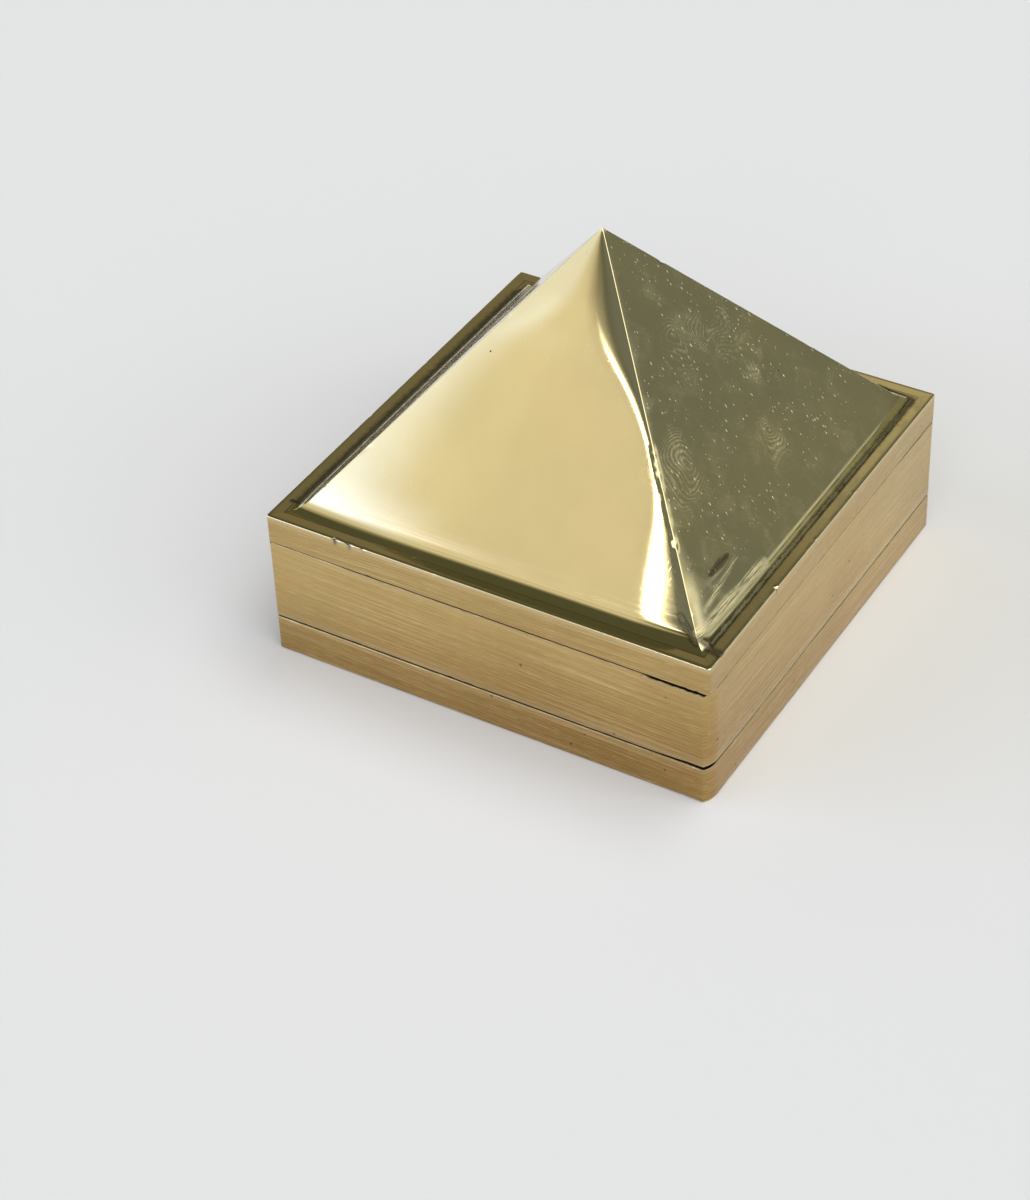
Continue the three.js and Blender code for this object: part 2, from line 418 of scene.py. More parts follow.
def rows_of_pyramids():
    """Geometry nodes for a plate cast in one with rows of pyramids, each a little off true."""
    group = bpy.data.node_groups.new("rows_of_pyramids", "GeometryNodeTree")
    tree = Tree(group)
    named = {}
    for label in ("Pitch", "Foot", "Height", "Half", "Thickness", "Corner", "Bottom", "Crease"):
        named[label] = group.interface.new_socket(name=label, in_out="INPUT", socket_type="NodeSocketFloat")
    for label in ("Rows", "Subdivisions", "Seed"):
        named[label] = group.interface.new_socket(name=label, in_out="INPUT", socket_type="NodeSocketInt")
    named["Finish"] = group.interface.new_socket(name="Finish", in_out="INPUT",
                                                 socket_type="NodeSocketMaterial")
    group.interface.new_socket(name="Geometry", in_out="OUTPUT", socket_type="NodeSocketGeometry")
    given = tree.node("NodeGroupInput")
    size = {label: given.output(label) for label in named}

    sunk = 0.2 * MM
    outline = tree.node("GeometryNodeCurvePrimitiveQuadrilateral", None,
                        {"Width": size["Half"] * 2, "Height": size["Half"] * 2})
    outline = tree.node("GeometryNodeFilletCurve", {"mode": "POLY"},
                        {"Curve": outline, "Count": 4, "Radius": size["Corner"]})
    bed = tree.node("GeometryNodeFillCurve", {"mode": "NGONS"}, {"Curve": outline})
    top = tree.node("GeometryNodeExtrudeMesh", {"mode": "FACES"},
                    {"Mesh": bed, "Offset Scale": size["Thickness"]})
    under = tree.node("GeometryNodeFlipFaces", None, {"Mesh": bed})
    plate = tree.node("GeometryNodeJoinGeometry", None, {"Geometry": top})
    tree.tree.links.new(under.socket, plate.socket.node.inputs[0])
    plate = tree.node("GeometryNodeMergeByDistance", None, {"Geometry": plate, "Distance": 0.001 * MM})

    pyramid = tree.node("GeometryNodeMeshCone", {"fill_type": "NGON"}, {
        "Vertices": 4, "Side Segments": 3, "Radius Top": 0.0,
        "Radius Bottom": size["Foot"] * math.sqrt(0.5), "Depth": size["Height"] + sunk})
    pyramid = tree.node("GeometryNodeSubdivisionSurface", None, {
        "Mesh": pyramid, "Level": size["Subdivisions"], "Edge Crease": size["Crease"],
        "Vertex Crease": size["Crease"]})
    spread = size["Pitch"] * (size["Rows"] - 1)
    middles = tree.node("GeometryNodeMeshGrid", None, {
        "Size X": spread, "Size Y": spread, "Vertices X": size["Rows"], "Vertices Y": size["Rows"]})
    tilt = tree.node("FunctionNodeRandomValue", {"data_type": "FLOAT_VECTOR"}, {
        0: (-off_plumb, -off_plumb, math.pi / 4 - off_square),
        1: (off_plumb, off_plumb, math.pi / 4 + off_square),
        "Seed": size["Seed"]})
    growth = tree.node("FunctionNodeRandomValue", {"data_type": "FLOAT_VECTOR"}, {
        0: (0.985, 0.985, 0.96), 1: (1.0, 1.0, 0.995), "Seed": size["Seed"] + 1})
    rows = tree.node("GeometryNodeInstanceOnPoints", None, {
        "Points": middles, "Instance": pyramid, "Rotation": tilt, "Scale": growth})
    rows = tree.node("GeometryNodeRealizeInstances", None, {"Geometry": rows})
    rough = tree.node("ShaderNodeTexNoise", None, {
        "Vector": tree.node("GeometryNodeInputPosition"), "Scale": 0.8 / MM, "Detail": 1.0}, output=1)
    rough = tree.node("ShaderNodeVectorMath", {"operation": "SUBTRACT"}, {0: rough, 1: (0.5, 0.5, 0.5)})
    rough = tree.node("ShaderNodeVectorMath", {"operation": "SCALE"},
                      {0: rough, "Scale": cast_roughness * MM})
    rows = tree.node("GeometryNodeSetPosition", None, {"Geometry": rows, "Offset": rough})
    lift = tree.node("ShaderNodeCombineXYZ", None, {"Z": size["Thickness"] - sunk})
    rows = tree.node("GeometryNodeTransform", None, {"Geometry": rows, "Translation": lift})
    both = tree.node("GeometryNodeJoinGeometry", None, {"Geometry": plate})
    tree.tree.links.new(rows.socket, both.socket.node.inputs[0])
    both = tree.node("GeometryNodeTransform", None, {
        "Geometry": both, "Translation": tree.node("ShaderNodeCombineXYZ", None, {"Z": size["Bottom"]})})
    both = tree.node("GeometryNodeRealizeInstances", None, {"Geometry": both})
    both = tree.node("GeometryNodeSetMaterial", None, {"Geometry": both, "Material": size["Finish"]})
    tree.node("NodeGroupOutput", None, {"Geometry": both})
    return group, named


pyramid_rows, pyramid_row_inputs = rows_of_pyramids()


def cast_plate(name, sizes, bottom, finish):
    """A plate of pyramids as a plain mesh, from sizes in millimetres."""
    piece = bpy.data.objects.new(name, bpy.data.meshes.new(name))
    bpy.context.scene.collection.objects.link(piece)
    modifier = piece.modifiers.new("rows", "NODES")
    modifier.node_group = pyramid_rows
    plain_numbers = ("Rows", "Subdivisions", "Seed", "Crease")
    for label, value in sizes.items():
        modifier[pyramid_row_inputs[label].identifier] = value if label in plain_numbers else value * MM
    modifier[pyramid_row_inputs["Bottom"].identifier] = bottom * MM
    modifier[pyramid_row_inputs["Finish"].identifier] = finish
    shaped = piece.evaluated_get(bpy.context.evaluated_depsgraph_get())
    piece.data = bpy.data.meshes.new_from_object(shaped)
    piece.modifiers.clear()
    piece.data.shade_smooth()
    piece.data.set_sharp_from_angle(angle=math.radians(50))
    return piece


def row_casting(name, foot_level, tip_level, light, dark):
    """Cast brass that is dark in the grooves between the pyramids and buffed bright at the tips."""
    finish = Finish(name)
    sand = finish.noise(finish.place, 3.2, 4, 0.65)
    cloud = finish.noise(finish.place, 0.25, 3, 0.6)
    height = (finish.z - foot_level) * (1 / (tip_level - foot_level))
    groove = (height + (cloud - 0.5) * 0.2).rise(0.3, -0.05)
    buffed = (height + (sand - 0.5) * 0.3).rise(0.55, 1.0)
    colour = finish.blend(cloud.rise(0.3, 0.7), dark, light)
    colour = finish.blend(buffed * 0.75, colour, (0.82, 0.69, 0.38))
    colour = finish.blend(groove * 0.75, colour, (0.10, 0.07, 0.03))
    roughness = 0.44 + sand * 0.16 - buffed * 0.22 + groove * 0.15
    return finish.brass(colour, roughness, sand, 1.6e-5)


tray_floor = base_top - tray_pocket
tiny_foot = tray_floor + tiny_plate["Thickness"]
tiny_brass = row_casting("tiny_pyramid_brass", tiny_foot, tiny_foot + tiny_plate["Height"],
                         (0.68, 0.52, 0.26), (0.48, 0.35, 0.15))
tiny_pyramids = cast_plate("tiny_pyramids", tiny_plate, tray_floor, tiny_brass)
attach(tiny_pyramids, "base")
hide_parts("eighty_one_pyramid_plate")


# Middle frame
# The thick layer: a square brass ring, open in the middle, ground on the same belt as the base.
# A shelf inside holds the plate of nine, and its ragged upper edge makes the black seam uneven.

frame_wall = 4.0
shelf_width = 1.0
shelf_rise = 3.9

frame_half, frame_bottom, frame_top = span("middle_frame")
mouth_half = frame_half - frame_wall
recess_half = mouth_half - shelf_width
shelf_level = frame_bottom + shelf_rise

frame_low_edge = broken_edge - 0.04 + layer_run.bites([(FRONT, -2.0, 1.2, 0.08)], 20, 0.10)
frame_top_edge = broken_edge + 0.02 + layer_run.bites(
    [(FRONT, -14.3, 5.2, 0.05), (FRONT, -11.7, 1.5, 0.16), (FRONT, -7.7, 0.5, 0.14),
     (FRONT, -1.9, 0.6, 0.14), (FRONT, 5.5, 0.7, 0.12), (FRONT, 9.4, 0.5, 0.12),
     (FRONT, 18.4, 0.6, 0.22), (RIGHT, 3.0, 1.0, 0.10), (RIGHT, 16.5, 0.8, 0.08)], 34, 0.10)

# The seam is nearly closed at the left of the front and gapes towards its filed corner
place_front = np.where(layer_run.side == FRONT, layer_run.place, 0)
closing = 0.07 * np.clip((-15 - place_front) / 3, 0, 1)
closing += np.where(layer_run.side == RIGHT, 0.07 * np.clip((layer_run.place + 22) / 2, 0, 1), 0)
# Dirt and painted shade in the seam above the frame, less on the right side
seam_dirt_and_shade = np.where(layer_run.side == RIGHT, 0.35, 1)
ragged = 1 + 0.25 * np.sin(layer_run.place * 5.3) * np.sin(layer_run.place * 2.1)
gaping = 0.20 * np.clip((place_front - 18.1) / 1.2, 0, 1) * ragged
gaping += np.where(layer_run.side == RIGHT, 0.12 * np.clip((layer_run.place - 16) / 3, 0, 1), 0)
gaping_below = 0.06 + 0.18 * np.clip((place_front - 19.5) / 4, 0, 1) + np.where(
    layer_run.side == RIGHT, 0.16 * np.clip((-20 - layer_run.place) / 4, 0, 1), 0)
frame_lip = file_corner(layer_run.edge(frame_half, layer_corners, frame_top, frame_top_edge, upper=True))
frame_sole = file_corner(layer_run.edge(frame_half, layer_corners, frame_bottom, frame_low_edge, upper=False))
for ring in frame_lip:
    ring[:, 2] += closing - gaping
for ring in frame_sole:
    ring[:, 2] += gaping_below
# In the stretches below, the dirt numbers also paint shade in the seams and along the lower edges, and the
# wear numbers also paint a highlight along the edges
ground_middle_frame = skin("ground_middle_frame", [
    (frame_sole, 0, (0, 0, 0.4, 0.2), (1, 0.9, 0, 0)),
    (file_corner(wall(layer_run, frame_half, layer_corners, frame_bottom + 0.6, frame_top - 0.6, 10, seed=8)),
     0, 0, 0),
    (frame_lip, 0, (0.1, 0.35, 0, 0), (0, 0.25 * seam_dirt_and_shade, 0.95 * seam_dirt_and_shade, 1)),
    ([layer_run.ring(frame_half - 0.8, inner_corner, frame_top),
      layer_run.ring(frame_half - 1.8, inner_corner, frame_top),
      layer_run.ring(mouth_half + 0.2, inner_corner, frame_top)], 0, 0, (0.5, 0.2, 0)),
    ([layer_run.ring(mouth_half, inner_corner, frame_top - 0.2),
      layer_run.ring(mouth_half, inner_corner, shelf_level),
      layer_run.ring(recess_half + 0.15, inner_corner, shelf_level),
      layer_run.ring(recess_half, inner_corner, shelf_level - 0.15),
      layer_run.ring(recess_half, inner_corner, frame_bottom + 0.2)], 1, 0, 0.1),
    ([layer_run.ring(recess_half + 0.2, inner_corner, frame_bottom),
      layer_run.ring(frame_half - 1.2, inner_corner, frame_bottom)], 0, 0, (0, 0.5)),
], [ground_brass, cast_brass], closed=True)
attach(ground_middle_frame, "middle")
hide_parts("middle_frame")


# Plate of nine pyramids
# The second casting: three rows of three solid pyramids on a thin plate, let into the mouth of
# the middle frame and soldered to its shelf. Their tips reach up into the hollow lid.

small_plate = {"Rows": 3, "Pitch": 13.1, "Foot": 12.7, "Height": 7.6, "Half": 21.25, "Thickness": 1.8,
               "Corner": 0.4, "Crease": 0.86, "Subdivisions": 4, "Seed": 9}

small_foot = shelf_level + small_plate["Thickness"]
small_brass = row_casting("small_pyramid_brass", small_foot, small_foot + small_plate["Height"],
                          (0.68, 0.52, 0.26), (0.50, 0.36, 0.16))
small_pyramids = cast_plate("small_pyramids", small_plate, shelf_level, small_brass)
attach(small_pyramids, "middle")
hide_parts("nine_pyramid_plate")


# Lid rim
# The flat square ring under the big pyramid. Its upright corners are nearly sharp; its sides are
# finely ground, the ledge on top is buffed as bright as the pyramid, and the edge between them
# carries a few knocks. The pyramid's skirt stands in its opening and is soldered there.

rim_corner = 0.3
rim_opening_half = 21.2
ledge_edge = 0.11

rim_half, rim_bottom, rim_top = span("lid_rim")


# Finger marks on the dark face and on two others: middle and reach, in millimetres
finger_marks = [((10.0, 4.9, 32.8), 4.6), ((8.6, -2.0, 34.5), 3.6), ((14.2, -10.5, 27.8), 4.2),
                ((11.9, 8.2, 30.5), 4.4), ((5.5, 0.5, 38.5), 2.6), ((-13.0, 3.0, 29.5), 4.5),
                ((-4.0, 14.5, 27.5), 4.8), ((17.5, 3.0, 24.0), 3.5)]
# Dark lines where the pyramid meets the rim, old polish dried dark and also painted shade in the hollow at
# the foot: start, end, half-width and strength
foot_dirt_and_shade = [((-24.3, -22.05, 17.4), (-22.7, -21.9, 17.4), 0.24, 1.0),
               ((22.4, -22.2, 17.6), (25.2, -22.96, 17.4), 0.45, 0.85),
               ((20.2, -21.6, 19.2), (22.6, -22.8, 17.5), 0.30, 0.9),
               ((19.4, 24.0, 17.4), (23.1, 23.3, 17.4), 0.22, 0.9),
               ((23.75, 23.2, 17.4), (23.75, 14.5, 17.4), 0.34, 0.9),
               ((23.75, 14.5, 17.4), (23.75, -21.8, 17.4), 0.28, 0.85),
               ((-23.5, -21.5, 17.5), (-23.5, 21.5, 17.5), 0.55, 0.85),
               ((-23.3, 20.5, 17.4), (-22.7, 23.6, 17.4), 0.22, 0.8)]
# Pinholes of the casting that the polish has opened, with their radius
pinholes = [((-0.76, -1.80, 42.65), 0.12), ((-7.57, -9.44, 33.5), 0.15), ((11.5, -19.55, 21.4), 0.13),
            ((14.9, 9.2, 27.0), 0.12), ((3.0, 12.9, 29.4), 0.14), ((-17.0, -6.0, 24.4), 0.13)]
# Painted shade on the hollow side of a dent near the foot of the dark face: its two ends
dent = ((20.4, -16.6, 20.42), (20.4, -12.1, 20.40))
# Bands that the wheel has left streaky: start, end and half-width
rubbed_bands = [((22.5, -22.2, 18.3), (22.9, -9.0, 18.1), 0.9),
                ((20.9, -12.0, 19.8), (21.6, -19.6, 18.9), 0.55)]
scratches = [((18.55, -6.06, 22.6), (18.9, -1.0, 22.2)), ((17.9, -3.6, 23.3), (18.1, -2.4, 23.1)),
             ((20.6, 2.2, 20.2), (20.9, 0.4, 19.8))]


def mirror_brass(name, ledge_level):
    """Buffed brass: finger marks, specks, hairlines, and long buffing streaks near the foot."""
    finish = Finish(name)

    def distance(first, second):
        """How far apart two places are, in millimetres."""
        return finish.node("ShaderNodeVectorMath", {"operation": "DISTANCE"},
                           {0: first, 1: second}, output=1)

    along, across, side = along_and_across(finish)
    cloud = finish.noise(finish.place, 0.11, 3, 0.55)
    breath = finish.noise(finish.place, 0.5, 3, 0.6)

    # Two of the faces have been handled more than the others
    handled = (abs(finish.x) > abs(finish.y)) * 0.85 + 0.15
    smudge = finish.noise(finish.place, 0.33, 3, 0.6, 0.4).rise(0.36, 0.70) * handled
    film = finish.noise(finish.place, 0.07, 2, 0.5).rise(0.35, 0.6) * handled

    # Finger marks: fine rings round a middle, bent a little and broken up
    print_bend = 7.0
    bent = finish.node("ShaderNodeVectorMath", {"operation": "MULTIPLY_ADD"}, {
        0: finish.noise(finish.place, 0.16, 1).output("Color"), 1: (print_bend,) * 3, 2: finish.place})
    print_lines = 0
    for middle, reach in finger_marks:
        gap = distance(bent, [value + print_bend / 2 for value in middle])
        pressed = (gap + breath * 2).rise(reach + 2.2, reach - 1)
        print_lines = (gap.maths("SINE", gap * 15) * 0.5 + 0.5) * pressed + print_lines
    print_lines = print_lines * cloud.rise(0.30, 0.52) * breath.rise(0.15, 0.5)

    # Buffing streaks along the ledge and the hollow at the foot
    near_foot = finish.z.rise(ledge_level + 3.6, ledge_level + 0.8)
    streak = finish.noise(finish.vector(along * 0.05, across * 1.9, side), 1, 3, 0.7)
    rub = finish.noise(finish.vector(along * 0.35, across * 6.0, side + 30), 1, 2, 0.6)

    # Polish dried to a fine haze
    haze = finish.noise(finish.vector(along * 2.4, finish.z * 1.5, side * 5), 1, 3, 0.7).rise(0.42, 0.62)

    # Specks: short ticks down the slope, and dots, where grit has caught
    crowd = finish.noise(finish.place, 0.19, 2, 0.5).rise(0.32, 0.54) * handled
    ticks = finish.vector(along * 3.0 + breath * 1.2, finish.z * 1.1, side * 3)
    speck = 0
    for place, scale, rarest in ((ticks, 1.0, 0.32), (finish.place, 2.4, 0.64)):
        grit = finish.node("ShaderNodeTexVoronoi", None, {"Vector": place, "Scale": scale})
        picked = finish.node("ShaderNodeSeparateColor", None, {0: grit.output("Color")})
        speck = grit.rise(0.19, 0.09) * picked.rise(rarest, rarest + 0.25) * crowd + speck
    speck = speck * (1 - near_foot)

    # Hairlines that run three ways over the faces
    up_slope = finish.z * 1.3
    hair = 0
    for turn, threshold in ((0.45, 0.64), (1.15, 0.66), (2.3, 0.63)):
        run = along * math.cos(turn) + up_slope * math.sin(turn)
        off = up_slope * math.cos(turn) - along * math.sin(turn)
        scored = finish.vector(run * 0.16, off * 7.0, side * 7 + turn * 9)
        hair = finish.noise(scored, 1, 1, 0.4).rise(threshold, threshold + 0.06) + hair
    hair = hair * handled * (1 - near_foot)

    def near_line(start, end):
        """Distance from a straight line, in millimetres."""
        start, end = Vector(start), Vector(end)
        run = end - start
        off = finish.node("ShaderNodeVectorMath", {"operation": "SUBTRACT"}, {0: finish.place, 1: start})
        share = finish.node("ShaderNodeVectorMath", {"operation": "DOT_PRODUCT"}, {
            0: off, 1: run / run.length_squared}, output=1)
        share = finish.node("ShaderNodeClamp", None, {"Value": share})
        nearest = finish.node("ShaderNodeVectorMath", {"operation": "SCALE"}, {0: run, "Scale": share})
        return distance(off, nearest)

    ragged = finish.noise(finish.place, 1.6, 3, 0.6) - 0.5
    dirt_and_shade = finish.mark("grime_and_shade")
    for start, end, width, strength in foot_dirt_and_shade:
        soiled_and_shaded = (near_line(start, end) + ragged * width * 1.5).rise(width * 2, 0) * strength
        dirt_and_shade = dirt_and_shade.maths("MAXIMUM", dirt_and_shade, soiled_and_shaded)
    for middle, radius in pinholes:
        hole = distance(finish.place, middle).rise(radius, radius * 0.55)
        dirt_and_shade = dirt_and_shade.maths("MAXIMUM", dirt_and_shade, hole)
    focus_one, focus_two = (distance(finish.place, end) for end in dent)
    overshoot = focus_one + focus_two - (Vector(dent[1]) - Vector(dent[0])).length
    # Painted shade that darkens the hollow side of the dent, which is not modelled
    dull = (overshoot + ragged * 0.08).rise(0.16, 0.03) * (0.6 + rub)
    rubbed = 0
    for start, end, width in rubbed_bands:
        rubbed = near_line(start, end).rise(width, width * 0.3) * rub.rise(0.32, 0.58) + rubbed
    cut = 0
    for start, end in scratches:
        cut = (near_line(start, end) + ragged * 0.05).rise(0.10, 0.03) * rub.rise(0.3, 0.5) + cut

    wear_and_highlight = finish.mark("wear_and_highlight")
    colour = finish.blend(cloud.rise(0.3, 0.7), (0.755, 0.635, 0.325), (0.80, 0.67, 0.345))
    colour = finish.blend(film * 0.45, colour, (0.56, 0.52, 0.33))
    colour = finish.blend(haze * handled * 0.22, colour, (0.60, 0.56, 0.38))
    colour = finish.blend(rubbed * 0.6, colour, (1.0, 0.87, 0.50))
    colour = finish.blend(speck * 0.5, colour, (1.0, 0.97, 0.85))
    # Wear and painted highlight along the ledge's edge
    colour = finish.blend(wear_and_highlight * 0.6, colour, (0.97, 0.88, 0.64))
    colour = finish.blend(cut * 0.6, colour, (1.0, 0.93, 0.70))
    # Painted shade on the dent
    colour = finish.blend(dull * 0.8, colour, (0.15, 0.11, 0.055))
    # Dirt and painted shade, near black: the seams, the lines at the foot and the pinholes
    colour = finish.blend(dirt_and_shade, colour, (0.03, 0.022, 0.012))
    roughness = (0.04 + smudge * 0.12 + print_lines * 0.15 + rubbed * 0.28 + hair * 0.05 + speck * 0.45
                 + cut * 0.45 + near_foot * streak.rise(0.4, 0.7) * 0.05 + dirt_and_shade.rise(0.5, 1.0) * 0.4
                 + dull * 0.10)
    height = (near_foot * (streak * 0.8 + rub * 0.15) + rubbed * rub * 0.5 + hair * 0.02 + speck * 0.5
              + print_lines * 0.03)
    return finish.brass(colour, roughness, height, 4.0e-6)


fine_ground_brass = belt_ground("fine_ground_brass", (0.53, 0.37, 0.145), (0.37, 0.24, 0.083), 11.0, -0.02)
polished_brass = mirror_brass("mirror_brass", rim_top)

rim_run = SquareRun(rim_half, np.linspace(-1, 1, 240), 3)
rim_low_edge = 0.06 + rim_run.bites([(FRONT, 24.2, 0.5, 0.12)], 16, 0.07)
rim_bites = rim_run.bites(
    [(FRONT, -17.1, 0.7, 0.26), (FRONT, -15.5, 0.8, 0.20), (FRONT, -13.8, 0.5, 0.16),
     (FRONT, 14.1, 0.4, 0.08), (RIGHT, -3.0, 0.5, 0.10), (RIGHT, 6.0, 0.4, 0.12),
     (RIGHT, -11.6, 0.35, 0.30)], 22, 0.05)
# Dirt and painted shade under the rim's lower edge, less on the right side
sole_dirt_and_shade = np.where(rim_run.side == RIGHT, 0.3, 1)
bite_dirt = np.clip(rim_bites / 0.15 - 0.6, 0, 0.9)
ledge_lines = [24.9, 24.4, 23.9, 23.6, 23.3, 23.0, 22.6, 22.2, 21.7]
# In the stretches below, the dirt numbers also paint shade in the seams and along the lower edges, and the
# wear numbers also paint a highlight along the edges
polished_lid_rim = skin("polished_lid_rim", [
    (rim_run.edge(rim_half, rim_corner, rim_bottom, rim_low_edge, upper=False),
     0, 0, (1, 0.9 * sole_dirt_and_shade, 0.2 * sole_dirt_and_shade, 0)),
    (wall(rim_run, rim_half, rim_corner, rim_bottom + 0.35, rim_top - 0.5, 5, seed=12), 0, 0, 0),
    (rim_run.edge(rim_half, rim_corner, rim_top, ledge_edge + rim_bites, upper=True),
     1, (0.4, 1, 1, 0.1), (bite_dirt * 0.7, bite_dirt, bite_dirt * 0.4, 0)),
    ([rim_run.ring(half, rim_corner, rim_top) for half in ledge_lines], 1, 0, 0),
    ([rim_run.ring(rim_opening_half, inner_corner, rim_top - 0.1),
      rim_run.ring(rim_opening_half, inner_corner, rim_bottom)], 2, 0, 0),
    ([rim_run.ring(24.2, rim_corner, rim_bottom)], 0, 0, 0.4),
], [fine_ground_brass, polished_brass, cast_brass], closed=True)
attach(polished_lid_rim, "lid")
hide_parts("lid_rim")


# Pyramid cap
# The large pyramid: one hollow brass casting, as cast inside and mirror-polished outside, with a
# skirt that hangs through the rim. The buffing wheel has swept its foot hollow and rolled its
# faces off a little towards the ridges, which bends the reflections there.

cap_foot_half = 22.9
cap_height = 27.4
cap_wall = 2.0
skirt_half = 21.1
skirt_wall = 1.8
foot_sweep = 2.2
toe_turn = 0.1
ridge_radius = 0.07
solder_gap = 0.003
roll_blur = 1.34
foot_bend = 0.006
foot_bend_from = 4.0
burr_middle = (-14.9, 2.62)
burr_reach = (2.6, 0.34)
burr_rise = 0.05

_, cap_bottom, cap_top = span("pyramid_cap")
cap_slope = math.atan2(cap_height, cap_foot_half)

# Height above the ledge, then how far from the ridge the roll-off is steepest and where it ends
front_roll = np.array([
    (0.0, 2.2, 5.2), (1.8, 1.9, 5.1), (2.9, 1.35, 5.0), (4.0, 1.05, 4.5), (5.3, 0.85, 3.4),
    (6.6, 0.60, 2.4), (8.0, 0.50, 1.5), (9.9, 0.30, 0.80), (12.5, 0.05, 0.55), (14.7, 0.44, 0.90),
    (16.4, 0.52, 1.15), (17.2, 1.15, 2.0), (18.3, 2.15, 3.05), (20.5, 2.85, 3.45), (22.1, 2.5, 2.9),
    (23.8, 1.9, 2.15), (25.6, 1.0, 1.2), (27.4, 0.02, 0.03)])
fine_levels = np.linspace(0, cap_height, 138)
nearness = np.exp(-0.5 * ((fine_levels[:, None] - fine_levels) / roll_blur) ** 2)
nearness /= nearness.sum(axis=1, keepdims=True)
steep_from, roll_end = (
    np.minimum(nearness @ np.interp(fine_levels, front_roll[:, 0], front_roll[:, i]),
               most * (cap_height - fine_levels) + 0.01) for i, most in ((1, 0.46), (2, 0.52)))
sweep_end = foot_sweep * (1 - math.cos(cap_slope))
side_ends = np.sin(np.linspace(-1, 1, 121) * math.pi / 2) * 0.62 + np.linspace(-1, 1, 121) * 0.38
cap_run = SquareRun(cap_foot_half, side_ends, 3)


def roll_off(height, half):
    """How far each face stands out at one height, as four rows of points along the sides."""
    place = side_ends * half
    lift = []
    for side in range(4):
        from_right, from_left = half - place, place + half
        flat_from = min(6.0, half)
        if side == FRONT:
            steep = np.interp(height, fine_levels, steep_from)
            end = np.interp(height, fine_levels, roll_end)
            flat_from = 1.25 * end + 0.5 * min(1, half / 3)
            lean = 0.1 * height
            tilt = np.interp(from_right, [0, steep, end, flat_from],
                             [4.2 + lean, 2.15 + lean, 1.15 + lean, 0])
            left = np.interp(height, [12, 22], [4.0, 1.8])
            tilt -= left * np.clip(1 - from_left / min(16.0, 0.9 * half), 0, 1) ** 1.2
        elif side == RIGHT:
            foot = np.interp(height, [0, 2.6, 4.5], [1, 0.8, 0])
            tilt = 5.5 * np.clip(1 - from_right / 6.5, 0, 1) * np.interp(height, [0, 3, 6.5], [1, 0.8, 0])
            tilt -= 3.6 * np.clip(1 - from_left / (1.8 + 0.8 * math.sin(height * 0.45)), 0, 1)
            tilt -= 1.5 * np.clip(1 - from_left / 10, 0, 1) * foot
            tilt -= 8.0 * np.clip(1 - from_left / 1.7, 0, 1) * foot
        else:
            width = 4.0 + 1.5 * math.sin(height * 0.37 + side)
            tilt = 2.6 * (np.clip(1 - from_right / width, 0, 1) - np.clip(1 - from_left / width, 0, 1))
        slope = np.radians(tilt)
        evening = np.clip((from_right - flat_from) / (0.95 * (2 * half - flat_from)), 0, 1)
        drop = [np.concatenate([[0], np.cumsum((way[1:] + way[:-1]) / 2 * np.diff(place))])
                for way in (slope, evening)]
        lift.append(drop[1] * (drop[0][-1] / drop[1][-1]) - drop[0])
    return np.array(lift)


def cap_ring(half, level, corner):
    """A ring of the outer skin, pushed in and out as its faces roll; the sweep follows the slope.

    A low burr on the dark face, 5 mm long, is what is left of a blow there.
    """
    ring = cap_run.ring(half, corner, level)
    height = max(level - rim_top, sweep_end)
    lift = np.zeros((4, cap_run.count // 4))
    lift[:, :side_ends.size] = roll_off(height, max(half, 0.2)) / math.sin(cap_slope)
    off_burr = (((side_ends * half - burr_middle[0]) / burr_reach[0]) ** 2
                + ((level - rim_top - burr_middle[1]) / burr_reach[1]) ** 2)
    lift[RIGHT, :side_ends.size] += burr_rise * np.exp(-off_burr)
    lift[FRONT] -= foot_bend * max(foot_bend_from - height, 0) ** 2
    for side, (x, y) in enumerate(((0, -1), (1, 0), (0, 1), (-1, 0))):
        ring[cap_run.side == side, :2] += lift[side][:, None] * np.array([x, y])
    return ring


# Knocks in the ridges: the side that ends there, height above the ledge, length and depth
ridge_knocks = [
    (FRONT, 12.4, 0.55, 0.16), (FRONT, 11.7, 0.5, 0.22), (FRONT, 11.0, 0.7, 0.18), (FRONT, 10.3, 0.4, 0.10),
    (FRONT, 8.9, 0.4, 0.10), (FRONT, 8.0, 0.35, 0.09), (FRONT, 6.5, 0.7, 0.20),
    (RIGHT, 22.3, 0.5, 0.16), (RIGHT, 9.0, 0.4, 0.07), (BACK, 14.0, 0.6, 0.12), (LEFT, 6.0, 0.5, 0.08),
    (BACK, 4.2, 0.4, 0.10), (LEFT, 19.0, 0.3, 0.07),
]


def knock(points, corners, height):
    """Presses the knocks into a ring at one height; corners are its four ridge directions."""
    for corner, level, length, depth in ridge_knocks:
        press = depth * max(0.0, 1 - ((height - level) / (length / 2)) ** 2)
        if press:
            way = corners[corner]
            reach = (points[:, :2] @ way).max() - points[:, :2] @ way
            points[:, :2] -= way * (press * np.clip(1 - reach / 0.3, 0, 1))[:, None]


ridge_ways = np.array([(1, -1), (1, 1), (-1, 1), (-1, -1)]) * math.sqrt(0.5)
sweep_centre = cap_foot_half + foot_sweep * math.tan(cap_slope / 2)
outer_rings = []
for turn in np.linspace(toe_turn, cap_slope, 18):
    half = sweep_centre - foot_sweep * math.sin(turn)
    outer_rings.append(cap_ring(half, rim_top + foot_sweep * (1 - math.cos(turn)), ridge_radius))
for height in np.union1d(np.linspace(sweep_end, cap_height - 0.12, 96)[1:], np.linspace(1.7, 3.6, 16)):
    half = cap_foot_half * (1 - height / cap_height)
    outer_rings.append(cap_ring(half, rim_top + height, min(ridge_radius, half * 0.8)))
for ring in outer_rings:
    knock(ring, ridge_ways, ring[:, 2].mean() - rim_top)
outer_rings.append(cap_run.ring(0.03, 0.024, cap_top - 0.02))

